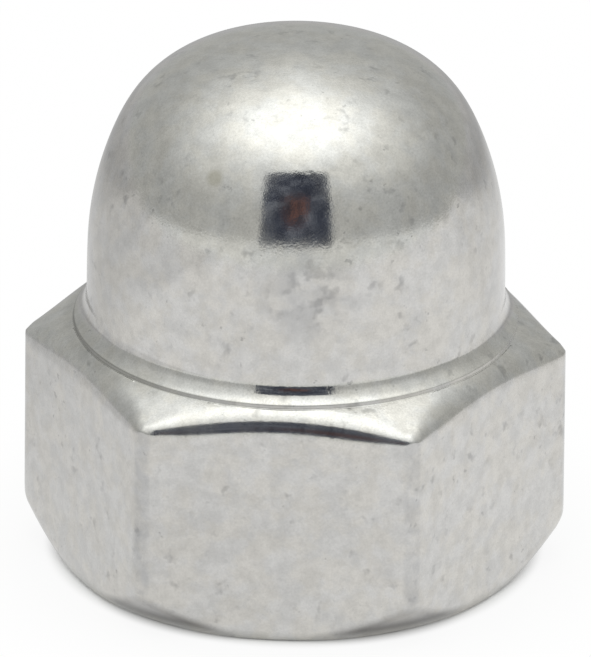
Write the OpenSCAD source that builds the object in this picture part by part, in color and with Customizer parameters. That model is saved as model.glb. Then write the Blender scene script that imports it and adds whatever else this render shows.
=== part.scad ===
// Hexagon domed cap nut, cold formed in one piece, with a blind threaded hole.
// The nut stands on its bearing face at z = 0 and its axis is the Z axis. All sizes are in millimetres.

/* [Hexagon] */
// Width across the flats of the hexagon
across_flats = 13; // [11:0.1:17]
// Height of the hexagon at the ring around the dome, above the bearing face
hex_height = 6.78; // [5:0.02:9]
// Radius of the six upright corners
corner_r = 0.7; // [0.3:0.05:1.2]
// Radius that rounds the arched top edges of the flats
top_edge_r = 0.84; // [0.4:0.02:1.1]
// Slope of the cone that forms the hexagon's top around the dome, in degrees below level
top_slope = 25; // [20:1:30]
// How far the bearing face ends inside the flats, where the bottom chamfer starts
bearing_inset = 0.1; // [0.05:0.05:0.4]
// Slope of the bottom chamfer, in degrees above level
bottom_slope = 47; // [30:1:50]

/* [Dome] */
// Height of the dome above the ring around its foot
dome_height = 7.92; // [7.2:0.02:12]
// How far the top of the dome's straight wall stands inside the flats
dome_inset = 0.8; // [0.6:0.01:1.2]
// Draft of the dome's wall, in degrees from upright
dome_draft = 0.5; // [0:0.5:4]
// Radius of the gently curved side above the straight wall
side_r = 8.75; // [7:0.25:11]
// Slope at which the side turns into the shoulder, in degrees from upright
side_turn = 26; // [18:1:32]
// Radius of the dome's shoulder
shoulder_r = 3.25; // [2.5:0.05:3.8]
// Radius of the flatter cap on top of the dome
crown_r = 13.1; // [9:0.1:20]

/* [Neck] */
// Radius of the hollow fillet at the foot of the dome
neck_r = 0.75; // [0.5:0.01:1]
// Slope at which the fillet ends, in degrees from upright
neck_turn = 58; // [40:1:60]
// Height of the fine step where the fillet ends on the hexagon
neck_step = 0.1; // [0.04:0.01:0.2]

/* [Thread] */
// Nominal diameter of the metric thread
thread_d = 8; // [6:0.5:9]
// Pitch of the thread
thread_pitch = 1.25; // [1:0.25:1.5]
// Metal left between the point of the hole and the top of the dome
crown_wall = 1.9; // [1.2:0.1:3]
// Full angle of the point at the closed end of the hole, in degrees
point_angle = 118; // [110:1:150]
// How much wider than the thread the countersunk mouth is
mouth_margin = 0.6; // [0.2:0.1:1]
// Full angle of the countersink, in degrees
mouth_angle = 120; // [90:5:120]

/* [Hidden] */
$fn = 96;
// Overlap that makes cuts clean and solids join
eps = 0.01;
// Depth of an internal metric thread, as a multiple of its pitch
thread_depth_ratio = 5 * sqrt(3) / 16;
// Number of flats on the hexagon
sides = 6;

flat_r = across_flats / 2;
corner_centre_r = (flat_r - corner_r) / cos(180 / sides);
// The round corners rise this far above tangent ones, so that the flats cross them at an angle
corner_lift = 0.015;
corner_arc_r = corner_r + corner_lift;
corner_tip_r = corner_centre_r + corner_arc_r;
bearing_r = flat_r - bearing_inset;
total_height = hex_height + dome_height;

// Dome: straight wall, side, shoulder and crown, each tangent to the next
wall_top_r = flat_r - dome_inset;
side_cx = wall_top_r - side_r * cos(dome_draft);
side_end_x = side_cx + side_r * cos(side_turn);
shoulder_cx = side_end_x - shoulder_r * cos(side_turn);
crown_turn = acos(shoulder_cx / (crown_r - shoulder_r));
shoulder_end_x = shoulder_cx + shoulder_r * cos(crown_turn);
crown_cz = total_height - crown_r;
shoulder_end_z = crown_cz + crown_r * sin(crown_turn);
shoulder_cz = shoulder_end_z - shoulder_r * sin(crown_turn);
side_end_z = shoulder_cz + shoulder_r * sin(side_turn);
side_cz = side_end_z - side_r * sin(side_turn);
wall_top_z = side_cz + side_r * sin(dome_draft);

// Neck: the fillet is tangent to the wall and ends at the ring above the hexagon
ring_z = hex_height + neck_step;
neck_cz = ring_z + neck_r * sin(neck_turn);
wall_foot_z = neck_cz - neck_r * sin(dome_draft);
wall_foot_r = wall_top_r + (wall_top_z - wall_foot_z) * tan(dome_draft);
neck_cx = wall_foot_r + neck_r * cos(dome_draft);
ring_r = neck_cx - neck_r * cos(neck_turn);

// The bottom chamfer and the cone run on to this radius, clear outside the corners
trim_r = corner_tip_r + corner_r;

// Top edge of a flat: an arch that follows the cone. Its rounding rises this far above a tangent
// one, so that the cone crosses it at an angle.
edge_lift = 0.03;
// Slope of the roof that carries the rounding on, clear above the cone
roof_slope = top_slope + 8;
arch_r = flat_r / tan(top_slope);
arch_edge_r = flat_r - top_edge_r * (1 - sin(top_slope));
arch_edge_z = cone_z(arch_edge_r) - top_edge_r * cos(top_slope) + edge_lift;

// Hole
bore_r = thread_d / 2 - thread_depth_ratio * thread_pitch;
mouth_r = (thread_d + mouth_margin) / 2;
mouth_depth = (mouth_r - bore_r) / tan(mouth_angle / 2);
point_depth = bore_r / tan(point_angle / 2);
bore_end_z = total_height - crown_wall - point_depth;

// A wedge from the point (x, z) that holds the directions between two angles
module wedge(x, z, from, to, reach) {
    middle = (from + to) / 2;
    translate([x, z])
        polygon([
            [0, 0],
            [reach * cos(from), reach * sin(from)],
            [reach * cos(middle) * 2, reach * sin(middle) * 2],
            [reach * cos(to), reach * sin(to)]
        ]);
}

// A sector of a disc, which gives the outline one true arc
module sector(x, z, r, from, to) {
    intersection() {
        translate([x, z]) circle(r);
        wedge(x, z, from, to, 2 * r);
    }
}

// Half section of the neck and dome, from inside the hexagon up to the crown
module dome_section() {
    intersection() {
        difference() {
            union() {
                polygon([
                    [0, hex_height / 2],
                    [ring_r, hex_height / 2],
                    [ring_r, ring_z],
                    [wall_foot_r, wall_foot_z],
                    [wall_top_r, wall_top_z],
                    [side_end_x, side_end_z],
                    [shoulder_end_x, shoulder_end_z],
                    [0, shoulder_end_z]
                ]);
                sector(side_cx, side_cz, side_r, dome_draft, side_turn);
                sector(shoulder_cx, shoulder_cz, shoulder_r, side_turn, crown_turn);
                sector(0, crown_cz, crown_r, crown_turn, 90);
            }
            translate([neck_cx, neck_cz]) circle(neck_r);
        }
        translate([0, hex_height / 2]) square([across_flats, total_height]);
    }
}

// Height of the hexagon's cone at a distance from the axis
function cone_z(x) = hex_height - (x - ring_r) * tan(top_slope);

// Half section that trims the hexagon with the bottom chamfer and the cone
module trim_section() {
    polygon([
        [0, 0],
        [bearing_r, 0],
        [trim_r, (trim_r - bearing_r) * tan(bottom_slope)],
        [trim_r, cone_z(trim_r)],
        [ring_r, hex_height],
        [0, hex_height]
    ]);
}

// Outline with round corners, seen from above. Its straight sides lie just outside the flats.
module hexagon() {
    union() {
        polygon([
            for (i = [0:sides - 1])
                for (side = [-0.5, 0.5])
                    let (
                        corner = (i + 0.5) * 360 / sides - 90,
                        flat = corner + side * 360 / sides
                    )
                    corner_centre_r * [cos(corner), sin(corner)] + corner_arc_r * [cos(flat), sin(flat)]
        ]);
        for (i = [0:sides - 1])
            rotate((i + 0.5) * 360 / sides - 90) translate([corner_centre_r, 0]) circle(corner_arc_r);
    }
}

// Half section of a drum as wide as the flats. Its rims are rounded, and it rises between them like a
// roof that stays clear above the cone.
module drum_section() {
    start_r = arch_r + top_edge_r * cos(roof_slope);
    start_y = flat_r - top_edge_r * (1 - sin(roof_slope));
    union() {
        polygon([
            [0, -flat_r],
            [arch_r, -flat_r],
            [start_r, -start_y],
            [start_r + start_y * tan(roof_slope), 0],
            [start_r, start_y],
            [arch_r, flat_r],
            [0, flat_r]
        ]);
        sector(arch_r, top_edge_r - flat_r, top_edge_r, -90, -roof_slope);
        sector(arch_r, flat_r - top_edge_r, top_edge_r, roof_slope, 90);
    }
}

// A large drum whose ends are the flats that face -Y and +Y. Its rims are their arched top edges.
module drum() {
    translate([0, 0, arch_edge_z - arch_r])
        rotate([90, 0, 0])
            rotate_extrude() drum_section();
}

// The hexagon: what the round-cornered outline, the trim and the three drums have in common
module hex_body() {
    intersection() {
        linear_extrude(height = hex_height) hexagon();
        rotate_extrude() trim_section();
        drum();
        rotate(360 / sides) drum();
        rotate(2 * 360 / sides) drum();
    }
}

// Blind hole at the thread's minor diameter, with its countersink and its pointed end
module hole() {
    translate([0, 0, -eps]) cylinder(r = bore_r, h = bore_end_z + eps);
    translate([0, 0, -eps])
        cylinder(r1 = mouth_r + eps * tan(mouth_angle / 2), r2 = bore_r, h = mouth_depth + eps);
    translate([0, 0, bore_end_z]) cylinder(r1 = bore_r, r2 = 0, h = point_depth);
}

module cap_nut() {
    color([0.78, 0.79, 0.78])
        difference() {
            union() {
                hex_body();
                rotate_extrude() dome_section();
            }
            hole();
        }
}

cap_nut();
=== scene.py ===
"""Cap nut: a zinc plated hexagon nut with a domed blind end and an M8 thread."""

import math

import bmesh
import bpy
from mathutils import Matrix, Vector


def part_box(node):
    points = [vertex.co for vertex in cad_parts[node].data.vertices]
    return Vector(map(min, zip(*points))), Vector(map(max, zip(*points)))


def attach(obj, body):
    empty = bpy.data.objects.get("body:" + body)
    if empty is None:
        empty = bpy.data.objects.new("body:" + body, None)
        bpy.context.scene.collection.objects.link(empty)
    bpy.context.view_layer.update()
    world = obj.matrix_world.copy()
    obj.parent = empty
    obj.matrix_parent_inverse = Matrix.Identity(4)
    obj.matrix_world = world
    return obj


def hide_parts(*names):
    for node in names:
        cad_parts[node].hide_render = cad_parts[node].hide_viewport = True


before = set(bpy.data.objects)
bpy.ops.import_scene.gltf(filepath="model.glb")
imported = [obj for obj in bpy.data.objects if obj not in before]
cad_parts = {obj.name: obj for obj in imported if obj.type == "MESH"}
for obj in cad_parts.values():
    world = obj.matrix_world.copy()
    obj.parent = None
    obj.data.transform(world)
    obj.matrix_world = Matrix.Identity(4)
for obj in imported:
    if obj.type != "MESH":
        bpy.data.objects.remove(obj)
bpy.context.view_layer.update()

# ---------------------------------------------------------------- sizes
# Lengths are in millimetres, apart from those of the camera, the card and the floor, which say so.
MM = 0.001
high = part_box("cap_nut")[1]

# Hexagon. The frame gives the overall sizes.
FLAT_R = high.y / MM
TOTAL = high.z / MM
HEX_HEIGHT = 6.78
CORNER_R = 0.7
TOP_SLOPE = math.radians(25)
BEARING_R = FLAT_R - 0.1
BOTTOM_SLOPE = math.radians(47)
SIDES = 6
SIDE_ANGLE = math.radians(60)
CORNER_CENTRE = (FLAT_R - CORNER_R) / math.cos(SIDE_ANGLE / 2)
CORNER_START = math.atan2(CORNER_CENTRE / 2, FLAT_R)

# Radii of the arched edges, in the middle of a flat and at its ends, and of the edge above an upright corner
EDGE_R = 0.96
EDGE_R_END = 0.4
CORNER_EDGE_R = 0.12
# Widths over which smaller edges are eased: the mitre where two arched edges meet, the upper edge of the
# foot chamfer, and the rim of the bearing face
MITRE_EASE = 0.3
CHAMFER_EASE = 0.26
BEARING_EASE = 0.07

# Dome: straight wall, side, shoulder and crown, each tangent to the next
WALL_R = FLAT_R - 0.8
DRAFT = math.radians(0.5)
SIDE_R = 8.75
SIDE_TURN = math.radians(26)
SHOULDER_R = 3.25
CROWN_R = 13.1
SIDE_CX = WALL_R - SIDE_R * math.cos(DRAFT)
SIDE_END = SIDE_CX + SIDE_R * math.cos(SIDE_TURN)
SHOULDER_CX = SIDE_END - SHOULDER_R * math.cos(SIDE_TURN)
CROWN_TURN = math.acos(SHOULDER_CX / (CROWN_R - SHOULDER_R))
CROWN_CZ = TOTAL - CROWN_R
SHOULDER_CZ = CROWN_CZ + (CROWN_R - SHOULDER_R) * math.sin(CROWN_TURN)
SIDE_CZ = SHOULDER_CZ + (SHOULDER_R - SIDE_R) * math.sin(SIDE_TURN)
WALL_TOP_Z = SIDE_CZ + SIDE_R * math.sin(DRAFT)
# Half the length over which the bend changes from one arc's to the next
EASE = 0.6

# Neck: a hollow fillet, and the fine step where it ends, with its own tiny fillet and round edge
NECK_R = 0.75
NECK_TURN = math.radians(58)
NECK_STEP = 0.1
STEP_FOOT_R = 0.04
STEP_EDGE_R = 0.05
RING_Z = HEX_HEIGHT + NECK_STEP
NECK_CZ = RING_Z + NECK_R * math.sin(NECK_TURN)
WALL_FOOT_Z = NECK_CZ - NECK_R * math.sin(DRAFT)
WALL_FOOT_R = WALL_R + (WALL_TOP_Z - WALL_FOOT_Z) * math.tan(DRAFT)
NECK_CX = WALL_FOOT_R + NECK_R * math.cos(DRAFT)
RING_R = NECK_CX - NECK_R * math.cos(NECK_TURN)

# Thread: M8 x 1.25, with a countersunk mouth and a drilled point
THREAD_R = 4.0
PITCH = 1.25
BORE_R = THREAD_R - 5 * math.sqrt(3) / 16 * PITCH
MOUTH_R = THREAD_R + 0.3
MOUTH_ANGLE = math.radians(60)
# Metal left above the point, and half the point's angle
CROWN_WALL = 1.9
POINT_ANGLE = math.radians(59)
BORE_END_Z = TOTAL - CROWN_WALL - BORE_R / math.tan(POINT_ANGLE)
# How far below the bore's end the thread has run out
RUN_OUT = 1.6
# Shares of half a pitch: half of the groove's flat floor, and the flank beside it
GROOVE_FLOOR = 1 / 8
FLANK = 5 / 8

# Mesh: strips beside the hexagon's edges where its rows of points lie closer together, the point inside
# the metal that the rows are aimed from, how far past its guide a row is followed, as a multiple, and how
# many halvings find where it leaves the metal
BEARING_STRIP = 0.15
CHAMFER_STRIP = 0.25
EDGE_STRIP = 0.75 * EDGE_R
CORE = (FLAT_R - 1.7, HEX_HEIGHT / 2)
FOLLOW = 1.6
HALVINGS = 26
# Columns of points round each corner and along each flat, and rows of points for each turn of the thread
CORNER_COLUMNS = 14
FLAT_COLUMNS = 26
TURN_ROWS = 13


# ---------------------------------------------------------------- dome profile
def arc(cx, cz, r, start, end, count):
    """Points on an arc from one angle above level to another."""
    steps = [start + (end - start) * i / count for i in range(count + 1)]
    return [(cx + r * math.cos(a), cz + r * math.sin(a)) for a in steps]


def spread(a, b, count):
    """Points from a towards b, without b."""
    return [(a[0] + (b[0] - a[0]) * i / count, a[1] + (b[1] - a[1]) * i / count) for i in range(count)]


def dome_slope(s):
    """Slope of the dome from upright, at a distance along its outline from the straight wall."""
    slope = DRAFT
    for r, end in ((SIDE_R, SIDE_TURN), (SHOULDER_R, CROWN_TURN), (CROWN_R, math.inf)):
        if s <= r * (end - slope):
            return slope + max(s, 0) / r
        s -= r * (end - slope)
        slope = end


def dome_curve(count=110, samples=8):
    """Outline from the straight wall to just beside the top. Its bend changes gradually from arc to arc."""
    side = SIDE_R * (SIDE_TURN - DRAFT)
    shoulder = SHOULDER_R * (CROWN_TURN - SIDE_TURN)
    crown = CROWN_R * (math.pi / 2 - CROWN_TURN)
    step = (EASE + (side + shoulder + crown)) / count
    path = [(0.0, 0.0)]
    for i in range(count):
        here = (i + 0.5) * step - EASE
        slopes = [dome_slope(here + EASE * k / samples) for k in range(-samples, samples + 1)]
        slope = sum(slopes) / len(slopes)
        path.append((path[-1][0] - step * math.sin(slope), path[-1][1] + step * math.cos(slope)))
    start_r = WALL_R + EASE * math.sin(DRAFT)
    start_z = WALL_TOP_Z - EASE * math.cos(DRAFT)
    run, rise = path[-1]
    return [(start_r * (1 - x / run), start_z + (TOTAL - start_z) * z / rise) for x, z in path[:-1]]


def dome_profile():
    """(radius, height) from the ring up to just beside the top of the dome."""
    neck = arc(NECK_CX, NECK_CZ, -NECK_R, NECK_TURN, DRAFT, 20)
    curve = dome_curve()
    return neck[1:-1] + spread(neck[-1], curve[0], 4) + curve


# ---------------------------------------------------------------- hexagon
def smooth_max(a, b, width):
    """The larger of two distances, with the edge between them eased over a width."""
    h = max(width - abs(a - b), 0) / width
    return max(a, b) + h * h * width / 4


def rounded_edge(side, cone, between, r):
    """Distance outside a wall and the cone, with the edge between them rounded by a radius.

    between is the cosine of the angle between the directions out of the two.
    """
    a, b = side + r, cone + r
    if a > b * between and b > a * between:
        return math.sqrt((a * a + b * b - 2 * a * b * between) / (1 - between * between)) - r
    return max(side, cone)


def outline(x, y):
    """Distance outside the round-cornered hexagon, and the direction straight out of it."""
    flat = SIDE_ANGLE / 2 + SIDE_ANGLE * math.floor(math.atan2(y, x) / SIDE_ANGLE)
    out = Vector((math.cos(flat), math.sin(flat)))
    along = Vector((-math.sin(flat), math.cos(flat)))
    u = x * out.x + y * out.y
    v = x * along.x + y * along.y
    beyond = abs(v) - CORNER_CENTRE / 2
    if beyond <= 0 or u < FLAT_R - CORNER_R:
        return u - FLAT_R, out
    offset = Vector((u - (FLAT_R - CORNER_R), math.copysign(beyond, v)))
    away = (out * offset.x + along * offset.y).normalized()
    return offset.length - CORNER_R, away


def hexagon_distance(r, z, azimuth):
    """Distance outside the hexagon: its flats and cone with rounded edges, and its bottom chamfer."""
    x, y = r * math.cos(azimuth), r * math.sin(azimuth)
    side, out = outline(x, y)
    cone = (z - HEX_HEIGHT) * math.cos(TOP_SLOPE) + (r - RING_R) * math.sin(TOP_SLOPE)
    facing = math.sin(TOP_SLOPE) / r
    top = rounded_edge(side, cone, facing * (out.x * x + out.y * y), CORNER_EDGE_R)
    corner = SIDE_ANGLE * round(azimuth / SIDE_ANGLE)
    edges = []
    for flat in (corner - SIDE_ANGLE / 2, corner + SIDE_ANGLE / 2):
        along = x * math.cos(flat) + y * math.sin(flat)
        across = (y * math.cos(flat) - x * math.sin(flat)) / (CORNER_CENTRE / 2)
        radius = EDGE_R + (EDGE_R_END - EDGE_R) * min(1.0, across**4)
        edges.append(rounded_edge(along - FLAT_R, cone, facing * along, radius))
    below_cone = min(1.0, (min(edges) - cone) / MITRE_EASE)
    mitre = (smooth_max(*edges, MITRE_EASE) - max(edges)) * below_cone
    chamfer = (r - BEARING_R) * math.sin(BOTTOM_SLOPE) - z * math.cos(BOTTOM_SLOPE)
    body = smooth_max(max(top, max(edges) + mitre), chamfer, CHAMFER_EASE)
    return smooth_max(body, -z, BEARING_EASE)


def last_inside(distance, inside, outside):
    """The largest value between two limits at which a distance is still negative."""
    for _ in range(HALVINGS):
        middle = (inside + outside) / 2
        if distance(middle) < 0:
            inside = middle
        else:
            outside = middle
    return inside


def wall_radius(azimuth):
    """Radius of the round-cornered hexagon at an azimuth."""
    x, y = math.cos(azimuth), math.sin(azimuth)
    return last_inside(lambda r: outline(r * x, r * y)[0], FLAT_R - 0.1, FLAT_R * 1.2)


def leave(towards, azimuth):
    """The point where the line from the core through a guide point leaves the hexagon."""
    dr, dz = towards[0] - CORE[0], towards[1] - CORE[1]
    t = last_inside(lambda t: hexagon_distance(CORE[0] + dr * t, CORE[1] + dz * t, azimuth), 0.0, FOLLOW)
    return CORE[0] + dr * t, CORE[1] + dz * t


def hexagon_profile(azimuth):
    """(radius, height) from the bearing face up to the ring at the foot of the dome."""
    wall = wall_radius(azimuth)
    chamfer_z = (wall - BEARING_R) * math.tan(BOTTOM_SLOPE)
    cone_z = HEX_HEIGHT - (wall - RING_R) * math.tan(TOP_SLOPE)
    edge_z = cone_z - EDGE_R * math.tan(math.radians(45) - TOP_SLOPE / 2)
    edge_in = wall - EDGE_STRIP
    edge_top = HEX_HEIGHT - (edge_in - RING_R) * math.tan(TOP_SLOPE)
    ring = (RING_R + STEP_FOOT_R, HEX_HEIGHT)
    guides = spread((BEARING_R - BEARING_STRIP, 0), (BEARING_R, 0), 4)
    guides += spread((BEARING_R, 0), (wall, chamfer_z), 9)
    guides += spread((wall, chamfer_z), (wall, chamfer_z + CHAMFER_STRIP), 5)
    guides += spread((wall, chamfer_z + CHAMFER_STRIP), (wall, edge_z), 16)
    guides += spread((wall, edge_z), (wall, cone_z), 10)
    guides += spread((wall, cone_z), (edge_in, edge_top), 10)
    guides += spread((edge_in, edge_top), ring, 8) + [ring]
    return [leave(guide, azimuth) for guide in guides]


def crease_profile():
    """The fine step at the foot of the neck, with a hollow foot and a round edge."""
    foot = STEP_FOOT_R * math.tan(math.radians(45) - TOP_SLOPE / 2)
    edge = STEP_EDGE_R * math.tan(NECK_TURN / 2)
    cone_out = math.radians(90) - TOP_SLOPE
    hollow = arc(RING_R + STEP_FOOT_R, HEX_HEIGHT + foot, -STEP_FOOT_R, cone_out, 0, 6)
    round_edge = arc(RING_R - STEP_EDGE_R, RING_Z - edge, STEP_EDGE_R, 0, NECK_TURN, 6)
    return hollow + round_edge


# ---------------------------------------------------------------- hole
def thread_radius(z, azimuth):
    """Radius of the threaded hole's wall: 60 degree grooves that wind right-handed into the nut."""
    turn = (z / PITCH - azimuth / math.tau) % 1.0
    from_groove = abs(turn - 0.5) * 2
    flank = (from_groove - GROOVE_FLOOR) / FLANK
    depth = (THREAD_R - BORE_R) * min(max(1 - flank, 0), 1)
    fade = min(max((BORE_END_Z - RUN_OUT - z) / PITCH, 0), 1)
    return BORE_R + depth * fade


def mouth_radius(z):
    """Radius of the countersink, carried on up inside the metal."""
    return MOUTH_R - z * math.tan(MOUTH_ANGLE)


def hole_profile(azimuth):
    """(radius, height) from the countersunk mouth to just beside the point of the hole."""
    rows = round(BORE_END_Z / PITCH * TURN_ROWS)
    points = []
    for i in range(1, rows + 1):
        z = BORE_END_Z * i / rows
        points.append((max(thread_radius(z, azimuth), mouth_radius(z)), z))
    points += spread((BORE_R, BORE_END_Z), (0, TOTAL - CROWN_WALL), 8)[1:]
    return points


# ---------------------------------------------------------------- mesh
def place(name, data):
    """A new object for a mesh or a camera, in the scene."""
    item = bpy.data.objects.new(name, data)
    bpy.context.collection.objects.link(item)
    return item


def azimuths():
    """Directions round the nut, closer together where the corners turn."""
    turn = SIDE_ANGLE / 2 - CORNER_START
    flat = 2 * CORNER_START
    result = []
    for side in range(SIDES):
        corner = SIDE_ANGLE * side
        result += [corner - turn + 2 * turn * i / CORNER_COLUMNS for i in range(CORNER_COLUMNS)]
        result += [corner + turn + flat * i / FLAT_COLUMNS for i in range(FLAT_COLUMNS)]
    return result


def add_rings(mesh, directions, profiles):
    """One ring of vertices for each point of the profiles, which stand in these directions."""
    rings = []
    for points in zip(*profiles):
        ring = []
        for a, (r, z) in zip(directions, points):
            ring.append(mesh.verts.new((r * math.cos(a) * MM, r * math.sin(a) * MM, z * MM)))
        rings.append(ring)
    return rings


def sweep(mesh, rings):
    """Quads between neighbouring rings of vertices."""
    for low_ring, high_ring in zip(rings, rings[1:]):
        for i in range(len(low_ring)):
            j = (i + 1) % len(low_ring)
            mesh.faces.new((low_ring[i], low_ring[j], high_ring[j], high_ring[i]))


def close(mesh, ring, height, order):
    """Triangles from a ring to a point on the axis. An order of -1 turns them to face down."""
    top = mesh.verts.new((0, 0, height * MM))
    for i in range(len(ring)):
        corners = (ring[i], ring[(i + 1) % len(ring)], top)
        mesh.faces.new(corners[::order])


def build_nut():
    """The whole nut as one closed mesh: its outside, and the hole in from the bearing face."""
    directions = azimuths()
    dome = dome_profile()
    bearing = spread((MOUTH_R, 0), (BEARING_R - BEARING_STRIP, 0), 6)
    outer = [bearing + hexagon_profile(a) + crease_profile() + dome for a in directions]
    inner = [hole_profile(a) for a in directions]
    mesh = bmesh.new()
    outside = add_rings(mesh, directions, outer)
    inside = add_rings(mesh, directions, inner)
    sweep(mesh, outside)
    sweep(mesh, inside[::-1] + [outside[0]])
    close(mesh, outside[-1], TOTAL, 1)
    close(mesh, inside[-1], TOTAL - CROWN_WALL, -1)
    data = bpy.data.meshes.new("cap_nut_metal")
    mesh.to_mesh(data)
    mesh.free()
    data.polygons.foreach_set("use_smooth", [True] * len(data.polygons))
    return place("cap_nut_metal", data)


# ---------------------------------------------------------------- node helpers
class Nodes:
    """Adds nodes and links to the tree of a material or a world with short calls."""

    def __init__(self, owner):
        owner.use_nodes = True
        self.tree = owner.node_tree
        self.tree.nodes.clear()

    def add(self, kind, **values):
        """A new node. Each value sets the node's own property of that name, or else its input."""
        node = self.tree.nodes.new(kind)
        for key, value in values.items():
            if hasattr(node, key):
                setattr(node, key, value)
            else:
                self.put(node.inputs[key], value)
        return node

    def put(self, socket, value):
        """Links an output to an input, or sets the input to a value."""
        if isinstance(value, bpy.types.NodeSocket):
            self.tree.links.new(value, socket)
        else:
            socket.default_value = value

    def math(self, operation, a, b=0.0, c=0.0):
        node = self.add("ShaderNodeMath", operation=operation)
        for socket, value in zip(node.inputs, (a, b, c)):
            self.put(socket, value)
        return node.outputs[0]

    def blend(self, factor, a, b):
        """A number that goes from a to b with the factor."""
        return self.math("MULTIPLY_ADD", self.math("SUBTRACT", b, a), factor, a)

    def ramp(self, value, low, high, out_low=0.0, out_high=1.0):
        """A smooth step from out_low, where the value is low, to out_high, where it is high."""
        node = self.add("ShaderNodeMapRange", interpolation_type="SMOOTHSTEP", Value=value)
        names = ("From Min", "From Max", "To Min", "To Max")
        for name, limit in zip(names, (low, high, out_low, out_high)):
            self.put(node.inputs[name], limit)
        return node.outputs["Result"]

    def mix(self, factor, a, b, mode="MIX"):
        """A colour that goes from a to b with the factor. The sockets are those of a colour mix."""
        node = self.add("ShaderNodeMix", data_type="RGBA", blend_type=mode)
        self.put(node.inputs[0], factor)
        self.put(node.inputs[6], a)
        self.put(node.inputs[7], b)
        return node.outputs[2]

    def noise(self, where, scale, detail, rough):
        node = self.add("ShaderNodeTexNoise", Vector=where, Scale=scale, Detail=detail, Roughness=rough)
        return node.outputs["Fac"]

    def vector(self, operation, a, b):
        node = self.add("ShaderNodeVectorMath", operation=operation)
        self.put(node.inputs[0], a)
        self.put(node.inputs[1], b)
        return node.outputs["Value" if operation in ("DISTANCE", "DOT_PRODUCT") else "Vector"]

    def split(self, vector):
        return self.add("ShaderNodeSeparateXYZ", Vector=vector).outputs

    def mix_shader(self, factor, a, b):
        node = self.add("ShaderNodeMixShader")
        for socket, value in zip(node.inputs, (factor, a.outputs[0], b.outputs[0])):
            self.put(socket, value)
        return node.outputs[0]

    def coordinates(self, kind):
        return self.add("ShaderNodeTexCoord").outputs[kind]

    def millimetres(self):
        """Where a point of the object is, in millimetres from the part's origin."""
        return self.vector("MULTIPLY", self.coordinates("Object"), (1 / MM,) * 3)

    def output(self, surface, kind="ShaderNodeOutputMaterial"):
        self.add(kind, Surface=surface)


# ---------------------------------------------------------------- zinc
# Noise takes its scale in waves per millimetre, then its detail and roughness. A ramp takes where it starts
# and ends, then its value at each.

# Places of the front patch of the dome, stained and painted with shade, and of a small round mark above it
STAIN_AND_SHADE = (0.8, -WALL_R, 9.95)
SPOT = (-1.93, -4.36, 12.79)

# Colours of the plating, of what marks it, and of painted shade at the foot, in the crease and on the front
COOL = (0.595, 0.591, 0.577, 1)
WARM = (0.606, 0.592, 0.559, 1)
STAIN_AND_SHADE_GREY = (0.38, 0.38, 0.38, 1)
SPECK_GREY = (0.2, 0.2, 0.2, 1)
SPOT_BROWN = (0.33, 0.31, 0.23, 1)
WORN_GREY = (0.3, 0.31, 0.33, 1)
FOOT_SHADE = (0.3, 0.27, 0.24, 1)
CHAMFER_SHADE = (0.08, 0.075, 0.07, 1)
CREASE_DIRT_AND_SHADE = (0.24, 0.24, 0.22, 1)

# Height of the relief that the noise is scaled to, in millimetres, and how strongly it shows
RELIEF_HEIGHT = 0.01
RELIEF_STRENGTH = 0.4


class Surface:
    """Place of a point on the nut, its radius from the axis, its height, and how far it faces up."""

    def __init__(self, n):
        self.where = n.millimetres()
        self.radius = n.vector("DISTANCE", n.vector("MULTIPLY", self.where, (1, 1, 0)), (0, 0, 0))
        self.x = n.split(self.where)["X"]
        self.height = n.split(self.where)["Z"]
        self.facing = n.split(n.coordinates("Normal"))["Z"]


def speck_mask(n, at):
    """Soft smudges and smaller dark marks: some everywhere, and a cluster low on the front of the dome."""
    smudges = n.noise(at.where, 2.3, 2, 0.55)
    marks = n.noise(at.where, 4.0, 2, 0.6)
    patches = n.ramp(n.noise(at.where, 0.8, 1, 0.5), 0.42, 0.62, 0.25, 1.0)
    near = n.ramp(n.vector("DISTANCE", at.where, STAIN_AND_SHADE), 0.4, 1.7, 1.0, 0.0)
    wide = n.math("MULTIPLY", n.ramp(smudges, 0.58, 0.74), patches)
    small = n.math("MULTIPLY", n.ramp(marks, 0.66, 0.76), patches)
    cluster = n.math("MULTIPLY", n.ramp(smudges, 0.5, 0.68), near)
    return n.math("MAXIMUM", n.math("MAXIMUM", wide, small), cluster)


def stain_and_shade_mask(n, at):
    """A thin dark veil low on the front of the dome: partly a stain, and partly painted shade where the
    camera's shadow is mirrored.
    """
    near = n.ramp(n.vector("DISTANCE", at.where, STAIN_AND_SHADE), 0.7, 1.7, 0.5, 0.0)
    return n.math("MULTIPLY", near, n.ramp(n.noise(at.where, 1.5, 2, 0.5), 0.4, 0.58, 0.25, 1.0))


def crease_mask(n, at):
    """The crease between dome and hexagon, with dirt and painted shade in and below it, which thin out
    towards +X, and a wider painted shade around it on the -X side.
    """
    off_r = n.math("ABSOLUTE", n.math("SUBTRACT", at.radius, RING_R))
    off_z = n.math("ABSOLUTE", n.math("SUBTRACT", at.height, HEX_HEIGHT + NECK_STEP / 2))
    off = n.math("ADD", off_r, off_z)
    crease = n.ramp(off, 0.05, 0.14, 1.0, 0.0)
    # Dirt and painted shade in the crease, darkest towards -X
    dirt_and_shade = n.math("MULTIPLY", crease, n.ramp(at.x, -5.5, 1.0, 0.8, 0.1))
    # Painted shade: a wider darker band around the crease on the -X side
    painted_left_shade = n.math("MULTIPLY", n.ramp(off, 0.15, 0.7, 0.24, 0.0), n.ramp(at.x, -5.0, 0.0, 1.0, 0.0))
    return crease, n.math("MAXIMUM", dirt_and_shade, painted_left_shade)


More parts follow.
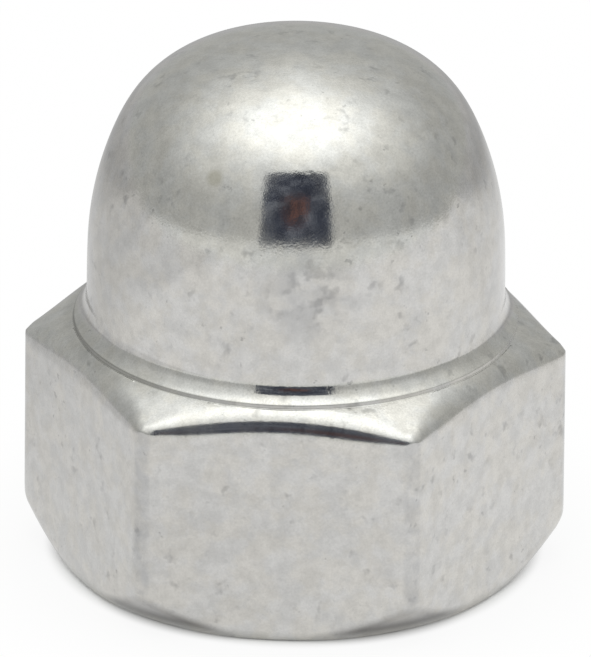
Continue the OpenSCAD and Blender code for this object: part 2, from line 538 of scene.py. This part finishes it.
def edge_mask(n, at):
    """The rounded edge between the flats and the cone, where the plating is rubbed, most at corners."""
    lower = n.ramp(at.facing, 0.02, 0.2)
    upper = n.ramp(at.facing, 0.75, 0.88, 1.0, 0.0)
    rubbed = n.ramp(at.radius, FLAT_R, FLAT_R + 0.7, 0.04, 0.1)
    rubbed = n.math("MULTIPLY", rubbed, n.ramp(at.radius, RING_R + 0.2, RING_R + 0.4))
    return n.math("MULTIPLY", n.math("MULTIPLY", lower, upper), rubbed)


def plating(n, at):
    """Clean zinc: cool and warm clouds, a mottle, and a fine grain that is stronger where it faces up."""
    clouds = n.ramp(n.noise(at.where, 1.1, 4, 0.6), 0.4, 0.6)
    mottle = n.ramp(n.noise(at.where, 2.4, 3, 0.55), 0.3, 0.7, 0.925, 1.055)
    grain = n.math("SUBTRACT", n.noise(at.where, 17, 1, 0.5), 0.5)
    grain = n.math("MULTIPLY_ADD", grain, n.ramp(at.facing, 0.1, 0.3, 0.2, 0.32), 1.0)
    return n.mix(1.0, n.mix(clouds, COOL, WARM), n.math("MULTIPLY", mottle, grain), "MULTIPLY")


def marked_and_shaded(n, at, specks, colour):
    """A colour with the front patch, stained and painted with shade, the specks and the small round mark on
    it.
    """
    colour = n.mix(stain_and_shade_mask(n, at), colour, STAIN_AND_SHADE_GREY)
    colour = n.mix(n.math("MULTIPLY", specks, 0.42), colour, SPECK_GREY)
    spot = n.ramp(n.vector("DISTANCE", at.where, SPOT), 0.12, 0.32, 0.45, 0.0)
    return n.mix(spot, colour, SPOT_BROWN)


def wear_and_shade(n, at, colour):
    """A colour with the upright corners rubbed, and painted shade at their foot and on the foot chamfer,
    which faces down.
    """
    corner_tip = CORNER_CENTRE + CORNER_R
    rubbed = n.ramp(at.radius, corner_tip - 0.06, corner_tip - 0.01)
    rubbed = n.math("MULTIPLY", rubbed, n.ramp(n.noise(at.where, 1.5, 3, 0.6), 0.35, 0.6, 0.05, 0.3))
    colour = n.mix(rubbed, colour, WORN_GREY)
    # Painted shade: darker at the foot of the corners, near the floor
    foot = n.math("MULTIPLY", n.ramp(at.height, 0.1, 1.1, 1.0, 0.0), n.ramp(at.radius, FLAT_R, FLAT_R + 0.8))
    foot = n.math("MULTIPLY", foot, n.ramp(n.noise(at.where, 2.0, 3, 0.6), 0.4, 0.65, 0.1, 0.4))
    colour = n.mix(foot, colour, FOOT_SHADE)
    # Painted shade: the foot chamfer, which faces down towards the floor, much darker, most near its bottom
    facing_down = n.ramp(at.facing, -0.6, -0.2, 1.0, 0.0)
    chamfer = n.math("MULTIPLY", facing_down, n.ramp(at.height, 0.15, 1.0, 0.95, 0.35))
    chamfer = n.math("MULTIPLY", chamfer, n.ramp(at.radius, FLAT_R - 0.1, FLAT_R + 0.3))
    return n.mix(chamfer, colour, CHAMFER_SHADE)


def relief(n, at, specks):
    """Height of the surface: slow waves, dimples, orange peel and grain, with the specks sunk in."""
    waves = n.math("MULTIPLY", n.noise(at.where, 0.42, 2, 0.5), 1.6)
    dimples = n.math("MULTIPLY", n.noise(at.where, 2.4, 2, 0.5), 0.5)
    peel = n.math("MULTIPLY", n.noise(at.where, 9, 3, 0.7), 0.3)
    grain = n.math("MULTIPLY", n.noise(at.where, 20, 1, 0.5), 0.2)
    height = n.math("ADD", n.math("ADD", waves, dimples), n.math("ADD", peel, grain))
    return n.math("MULTIPLY_ADD", specks, -0.25, height)


def roughness(n, at, crease):
    """Uneven gloss, duller on the rubbed edges and in the crease."""
    rough = n.ramp(n.noise(at.where, 1.3, 3, 0.6), 0.3, 0.7, 0.09, 0.14)
    rough = n.math("ADD", edge_mask(n, at), rough)
    return n.math("MULTIPLY_ADD", crease, 0.25, rough)


def zinc_material():
    """Bright zinc plating, a little dulled: mottled and specked, with worn corners, a dirty crease, and
    painted shade in the crease, at the foot and on the front of the dome.
    """
    material = bpy.data.materials.new("zinc_plate")
    n = Nodes(material)
    at = Surface(n)
    specks = speck_mask(n, at)
    crease, dirt_and_shade = crease_mask(n, at)
    colour = wear_and_shade(n, at, marked_and_shaded(n, at, specks, plating(n, at)))
    # Dirt and painted shade in and around the crease
    colour = n.mix(dirt_and_shade, colour, CREASE_DIRT_AND_SHADE)
    bump = n.add("ShaderNodeBump", Strength=RELIEF_STRENGTH, Distance=RELIEF_HEIGHT * MM)
    n.put(bump.inputs["Height"], relief(n, at, specks))
    shader = n.add("ShaderNodeBsdfPrincipled", Metallic=1.0)
    n.put(shader.inputs["Base Color"], colour)
    n.put(shader.inputs["Roughness"], roughness(n, at, crease))
    n.put(shader.inputs["Normal"], bump.outputs["Normal"])
    n.output(shader.outputs["BSDF"])
    return material


# ---------------------------------------------------------------- camera
# Angles from the front and above level, and lengths in metres as multiples of the width across flats
ACROSS_FLATS = 2 * FLAT_R * MM
CAMERA_AZIMUTH = math.radians(4.13)
CAMERA_ELEVATION = math.radians(24.27)
CAMERA_DISTANCE = 60 * ACROSS_FLATS
AIM = Vector((0, 0, 0.4961 * ACROSS_FLATS))
ROLL = math.radians(0.55)
FRAME_HEIGHT = 1.3797 * ACROSS_FLATS


def direction(azimuth, elevation):
    """Unit vector from the nut. Azimuth 0 is towards -Y and turns towards +X."""
    flat = math.cos(elevation)
    return Vector((math.sin(azimuth) * flat, -math.cos(azimuth) * flat, math.sin(elevation)))


def build_camera():
    """A long lens in front of the nut. The frame is upright, so the sensor's width spans its height."""
    data = bpy.data.cameras.new("camera")
    camera = place("camera", data)
    towards = direction(CAMERA_AZIMUTH, CAMERA_ELEVATION)
    camera.location = AIM + towards * CAMERA_DISTANCE
    turn = (-towards).to_track_quat("-Z", "Y").to_matrix() @ Matrix.Rotation(ROLL, 3, "Z")
    camera.rotation_euler = turn.to_euler()
    data.lens = data.sensor_width * CAMERA_DISTANCE / FRAME_HEIGHT
    data.clip_start = 0.01
    data.clip_end = 20
    bpy.context.scene.camera = camera


# ---------------------------------------------------------------- stage
# Fixed directions of the studio, level with the floor: its front, its right and its back
FRONT = direction(CAMERA_AZIMUTH, 0)
RIGHT = direction(CAMERA_AZIMUTH + math.pi / 2, 0)
BACK = direction(CAMERA_AZIMUTH + math.pi, 0)
BACK_LEFT = direction(CAMERA_AZIMUTH - math.radians(135), 0)

# Dark card, in metres: it stands in front, faces the nut, and narrows towards its top
CARD_DISTANCE = 1.3
CARD_ELEVATION = math.radians(27.5)
CARD_WIDTH = 0.77 * CARD_DISTANCE
CARD_HEIGHT = 0.69 * CARD_DISTANCE
CARD_NARROWING = 0.8
CARD_DARK = (0.04, 0.047, 0.07, 1)
CARD_STREAK = (0.25, 0.27, 0.31, 1)
# Its ruddy middle, whose place is given in shares of the card's width and height
CARD_MIDDLE = (0.51, 0.38, 0)
CARD_MIDDLE_DARK = (0.05, 0.045, 0.055, 1)
CARD_MIDDLE_RUDDY = (0.21, 0.105, 0.085, 1)

# Floor: half its width in metres, its colour, and how far below the bearing face it lies, in millimetres
FLOOR_HALF = 3
FLOOR_PAPER = (0.86, 0.86, 0.86, 1)
FLOOR_DROP = 0.01


def dark_material():
    """What stands in front of the nut: dark cloth with pale streaks and a ruddy middle."""
    material = bpy.data.materials.new("dark_card")
    n = Nodes(material)
    where = n.vector("MULTIPLY", n.coordinates("Generated"), (1, 1, 0))
    streaks = n.ramp(n.noise(n.vector("MULTIPLY", where, (4, 11, 1)), 1.0, 4, 0.65), 0.47, 0.64)
    blotches = n.ramp(n.noise(where, 9.0, 2, 0.5), 0.42, 0.6)
    middle = n.ramp(n.vector("DISTANCE", where, CARD_MIDDLE), 0.08, 0.24, 1.0, 0.0)
    cloth = n.mix(streaks, CARD_DARK, CARD_STREAK)
    ruddy = n.mix(blotches, CARD_MIDDLE_DARK, CARD_MIDDLE_RUDDY)
    glow = n.add("ShaderNodeEmission", Color=n.mix(middle, cloth, ruddy), Strength=1.0)
    n.output(glow.outputs[0])
    return material


def build_card():
    """A dark card that only the metal mirrors: no camera sees it, and it throws no light or shadow."""
    towards = direction(CAMERA_AZIMUTH, CARD_ELEVATION)
    x, y = CARD_WIDTH / 2, CARD_HEIGHT / 2
    top_x = x * CARD_NARROWING
    data = bpy.data.meshes.new("dark_card")
    data.from_pydata([(-x, -y, 0), (x, -y, 0), (top_x, y, 0), (-top_x, y, 0)], [], [(0, 1, 2, 3)])
    data.materials.append(dark_material())
    card = place("dark_card", data)
    card.location = towards * CARD_DISTANCE
    card.rotation_euler = (-towards).to_track_quat("Z", "Y").to_euler()
    card.visible_camera = False
    card.visible_diffuse = False
    card.visible_shadow = False
    return card


def floor_fall(n, where):
    """Brightness of the mirrored floor, which dims away from the window: to the left, and behind the nut."""
    side = n.vector("DOT_PRODUCT", where, RIGHT)
    back = n.vector("DOT_PRODUCT", where, BACK)
    corner = n.vector("DOT_PRODUCT", where, BACK_LEFT)
    behind = n.math("MULTIPLY_ADD", n.math("ABSOLUTE", side), -0.25, back)
    far = n.math("MULTIPLY", n.ramp(back, 0.0, 14.0, 1.0, 0.88), n.ramp(behind, 14.0, 42.0, 1.0, 0.54))
    near = n.ramp(n.vector("DISTANCE", where, (0, 0, 0)), 14.0, 22.0, 1.0, 0.25)
    left = n.math("MULTIPLY_ADD", n.ramp(side, -12.0, 12.0, -0.13, 0.0), near, 0.98)
    left = n.math("MULTIPLY", left, n.ramp(corner, 12.0, 22.0, 1.0, 0.83))
    return n.math("MAXIMUM", n.math("MULTIPLY", far, left), n.ramp(back, 50.0, 140.0, 0.47, 0.54))


def floor_material():
    """White to the camera and in mirrors. Under and close to the nut it is paper, which takes its shadow."""
    material = bpy.data.materials.new("floor")
    n = Nodes(material)
    where = n.millimetres()
    path = n.add("ShaderNodeLightPath").outputs
    seen = n.math("MAXIMUM", path["Is Camera Ray"], path["Is Glossy Ray"])
    seen = n.math("MAXIMUM", seen, path["Is Transmission Ray"])
    off = n.vector("DISTANCE", where, (0, 0, 0))
    white_share = n.ramp(off, FLAT_R - 0.3, FLAT_R + 0.4, 0.0, 0.9)
    white_share = n.math("ADD", white_share, n.ramp(off, FLAT_R + 0.4, FLAT_R + 5.0, 0.0, 0.09))
    paper = n.add("ShaderNodeBsdfDiffuse", Color=FLOOR_PAPER)
    strength = n.blend(path["Is Glossy Ray"], 1.0, floor_fall(n, where))
    white = n.add("ShaderNodeEmission", Strength=strength)
    n.output(n.mix_shader(n.math("MULTIPLY", seen, white_share), paper, white))
    return material


def build_floor():
    """A level floor, just clear of the bearing face."""
    h, z = FLOOR_HALF, -FLOOR_DROP * MM
    data = bpy.data.meshes.new("floor")
    data.from_pydata([(-h, -h, z), (h, -h, z), (h, h, z), (-h, h, z)], [], [(0, 1, 2, 3)])
    data.materials.append(floor_material())
    return place("floor", data)


# ---------------------------------------------------------------- world
# Brightness of the room, and how much it gains in front, and in front and behind over the sides
ROOM_LIGHT = 0.564
ROOM_GAIN_FRONT = 0.025
ROOM_GAIN_ENDS = 0.022
# Brightness of the glow on the ceiling, of the window there and of the pale wall in front. All are tinted.
GLOW_LIGHT = 0.32
WINDOW_LIGHT = 1.84
WALL_LIGHT = 0.92
LIGHT_TINT = (0.985, 1, 0.975, 1)

# Places on the ceiling are shares of its height, across to the right and ahead to the front.
# Glow: how far ahead it is, how fast it fades each way, and how steeply
GLOW_AHEAD = 0.49
GLOW_FADE_ACROSS = 0.22
GLOW_FADE_AHEAD = 0.71
GLOW_POWER = 2.2
# Window: half its width, its length behind and ahead of its middle, how far back that is, and how crisp
WINDOW_ACROSS = 0.58
WINDOW_BEHIND = 1.2
WINDOW_AHEAD = 0.66
WINDOW_SHIFT = 0.04
WINDOW_POWER = 1.9
# Wall: how high it rises for each unit ahead, and half the width of its soft upper edge
WALL_RISE = 0.163
WALL_EDGE = 0.02
# Lowest height that counts as ceiling, which keeps the divisions by height above nought
HORIZON = 0.001


def room_light(n, side, front, across, ahead):
    """Grey walls, a little brighter in front and behind, and a broad glow on the ceiling ahead."""
    fade = n.math("MULTIPLY", n.math("POWER", across, 2.0), GLOW_FADE_ACROSS)
    off_ahead = n.math("POWER", n.math("SUBTRACT", ahead, GLOW_AHEAD), 2.0)
    fade = n.math("MULTIPLY_ADD", off_ahead, GLOW_FADE_AHEAD, fade)
    glow = n.math("DIVIDE", GLOW_LIGHT, n.math("ADD", n.math("POWER", fade, GLOW_POWER), 1.0))
    ends = n.math("SUBTRACT", n.math("POWER", front, 2.0), n.math("POWER", side, 2.0))
    walls = n.math("MULTIPLY_ADD", ends, ROOM_GAIN_ENDS, ROOM_LIGHT)
    walls = n.math("MULTIPLY_ADD", front, ROOM_GAIN_FRONT, walls)
    return n.math("ADD", glow, walls)


def window_mask(n, across, ahead):
    """A soft window overhead: pointed towards the back and blunt towards the front."""
    aside = n.math("DIVIDE", n.math("ABSOLUTE", across), WINDOW_ACROSS)
    shifted = n.math("ADD", ahead, WINDOW_SHIFT)
    behind = n.math("MAXIMUM", n.math("MULTIPLY", shifted, -1.0), 0.0)
    behind = n.math("DIVIDE", behind, WINDOW_BEHIND)
    before = n.math("DIVIDE", n.math("MAXIMUM", shifted, 0.0), WINDOW_AHEAD)
    pointed = n.math("POWER", n.math("ADD", aside, behind), 2.0)
    off = n.math("ADD", pointed, n.math("POWER", before, 2.0))
    return n.math("DIVIDE", 1.0, n.math("ADD", n.math("POWER", off, WINDOW_POWER), 1.0))


def build_world():
    """A grey room with a soft window overhead and a pale wall low in front. The camera sees white."""
    world = bpy.data.worlds.new("world")
    bpy.context.scene.world = world
    n = Nodes(world)
    look = n.coordinates("Generated")
    height = n.split(look)["Z"]
    up = n.math("MAXIMUM", height, HORIZON)
    side = n.vector("DOT_PRODUCT", look, RIGHT)
    front = n.vector("DOT_PRODUCT", look, FRONT)
    across = n.math("DIVIDE", side, up)
    ahead = n.math("DIVIDE", front, up)
    strength = room_light(n, side, front, across, ahead)
    strength = n.blend(window_mask(n, across, ahead), strength, WINDOW_LIGHT)
    above_wall = n.math("MULTIPLY_ADD", front, -WALL_RISE, height)
    wall = n.ramp(above_wall, -WALL_EDGE, WALL_EDGE, 1.0, 0.0)
    strength = n.blend(wall, strength, WALL_LIGHT)
    light = n.add("ShaderNodeBackground", Color=LIGHT_TINT, Strength=strength)
    white = n.add("ShaderNodeBackground", Color=(1, 1, 1, 1), Strength=1.0)
    is_camera = n.add("ShaderNodeLightPath").outputs["Is Camera Ray"]
    n.output(n.mix_shader(is_camera, light, white), "ShaderNodeOutputWorld")


nut = build_nut()
nut.data.materials.append(zinc_material())
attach(nut, "root")
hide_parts("cap_nut")
build_card()
build_floor()
build_world()
build_camera()
bpy.context.scene.view_settings.view_transform = "Standard"
